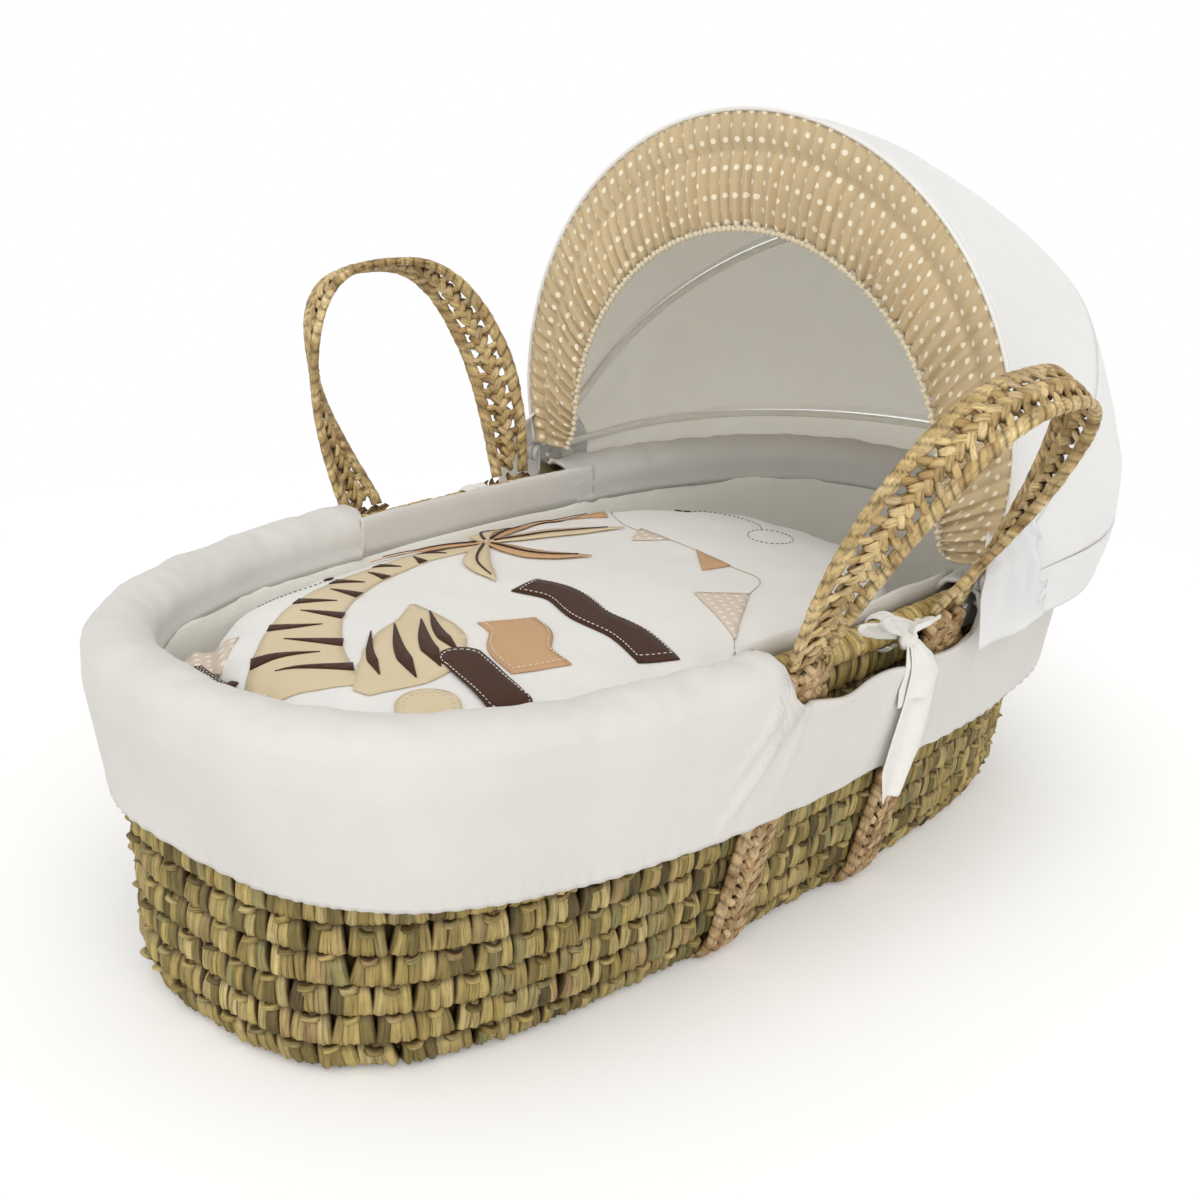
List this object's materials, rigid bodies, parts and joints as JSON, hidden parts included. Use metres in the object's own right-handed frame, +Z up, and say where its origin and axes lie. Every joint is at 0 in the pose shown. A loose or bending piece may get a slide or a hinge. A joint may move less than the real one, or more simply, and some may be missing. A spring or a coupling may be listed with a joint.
{
  "type": "baby cradle",
  "caption": "Oval palm-leaf baby basket with two plaited carrying handles, a padded cloth liner, a mattress, a quilted coverlet and a folding cloth hood.",
  "frame": {"origin": "middle of the basket's underside, on the floor it rests on", "axes": "+X along the basket towards the hood and the sleeper's head, +Y to the left side seen from the foot end, +Z up"},
  "size_m": [0.8729, 0.6185, 0.5452],
  "materials": {
    "palm_weave": "dry woven palm leaf",
    "rattan": "peeled rattan cane",
    "palm_wrap": "wound palm leaf",
    "palm_plait": "plaited palm leaf",
    "palm_binding": "twisted palm leaf",
    "foam": "open-cell foam",
    "white_cotton": "plain cotton",
    "wadding": "polyester wadding",
    "liner_cotton": "brushed cotton over wadding",
    "elastic": "woven elastic",
    "coverlet_cotton": "printed cotton over wadding",
    "steel": "plain steel",
    "coated_wire": "white coated spring wire",
    "hood_cotton": "plain cotton, single layer",
    "dotted_cotton": "beige cotton with cream dots, gathered",
    "frill_trim": "cream elastic and piping"
  },
  "bodies": {
    "basket": {"base_panel": "palm_weave", "wall_course_1": "palm_weave", "wall_course_2": "palm_weave", "wall_course_3": "palm_weave", "wall_course_4": "palm_weave", "wall_course_5": "palm_weave", "wall_course_6": "palm_weave", "wall_course_7": "palm_weave", "wall_course_8": "palm_weave", "wall_course_9": "palm_weave", "wall_course_10": "palm_weave", "rim_core": "rattan", "rim_wrap": "palm_wrap", "strap_foot": "palm_plait", "strap_head": "palm_plait", "lashing_right_foot": "palm_binding", "lashing_right_head": "palm_binding", "lashing_left_foot": "palm_binding", "lashing_left_head": "palm_binding", "mattress_foam": "foam", "mattress_cover": "white_cotton", "tie_right": "white_cotton", "tie_left": "white_cotton", "bumper_wadding": "wadding", "bumper_cover": "liner_cotton", "roll_foot": "liner_cotton", "roll_head": "liner_cotton", "liner_edge_right": "liner_cotton", "liner_edge_left": "liner_cotton", "skirt": "liner_cotton", "skirt_elastic": "elastic", "hood_bracket_right": "steel", "hood_bracket_left": "steel", "hood_rivet_right": "steel", "hood_rivet_left": "steel", "bracket_screws": "steel", "hoop_back": "coated_wire", "canopy_valance": "hood_cotton", "canopy_rear": "hood_cotton"},
    "hood_mid": {"hoop_middle": "coated_wire", "canopy_front": "hood_cotton"},
    "hood_front": {"hoop_front": "coated_wire", "frill": "dotted_cotton", "frill_elastic": "frill_trim", "hood_piping": "frill_trim"},
    "right_handle": {"handle_right": "palm_plait"},
    "left_handle": {"handle_left": "palm_plait"},
    "coverlet": {"coverlet_wadding": "wadding", "coverlet_cover": "coverlet_cotton"}
  },
  "joints": [
    {"name": "hood_fold", "type": "hinge", "parent": "basket", "child": "hood_mid", "pos_m": [0.122, 0, 0.242], "axis": [0, 1, 0], "range_deg": [0, 26], "deforming": ["canopy_front", "canopy_rear"]},
    {"name": "hood_front_fold", "type": "hinge", "parent": "hood_mid", "child": "hood_front", "pos_m": [0.122, 0, 0.242], "axis": [0, 1, 0], "range_deg": [0, 39]},
    {"name": "right_handle_swing", "type": "hinge", "parent": "basket", "child": "right_handle", "pos_m": [0, -0.21325, 0.23175], "axis": [1, 0, 0], "range_deg": [-88, 50]},
    {"name": "left_handle_swing", "type": "hinge", "parent": "basket", "child": "left_handle", "pos_m": [0, 0.21325, 0.23175], "axis": [-1, 0, 0], "range_deg": [-70, 60]},
    {"name": "coverlet_lift", "type": "slide", "parent": "basket", "child": "coverlet", "axis": [-0.4695, 0, 0.8829], "range_m": [0, 0.42]}
  ],
  "couplings": [
    {"joint": "hood_front_fold", "follows": "hood_fold", "ratio": 1.5}
  ]
}
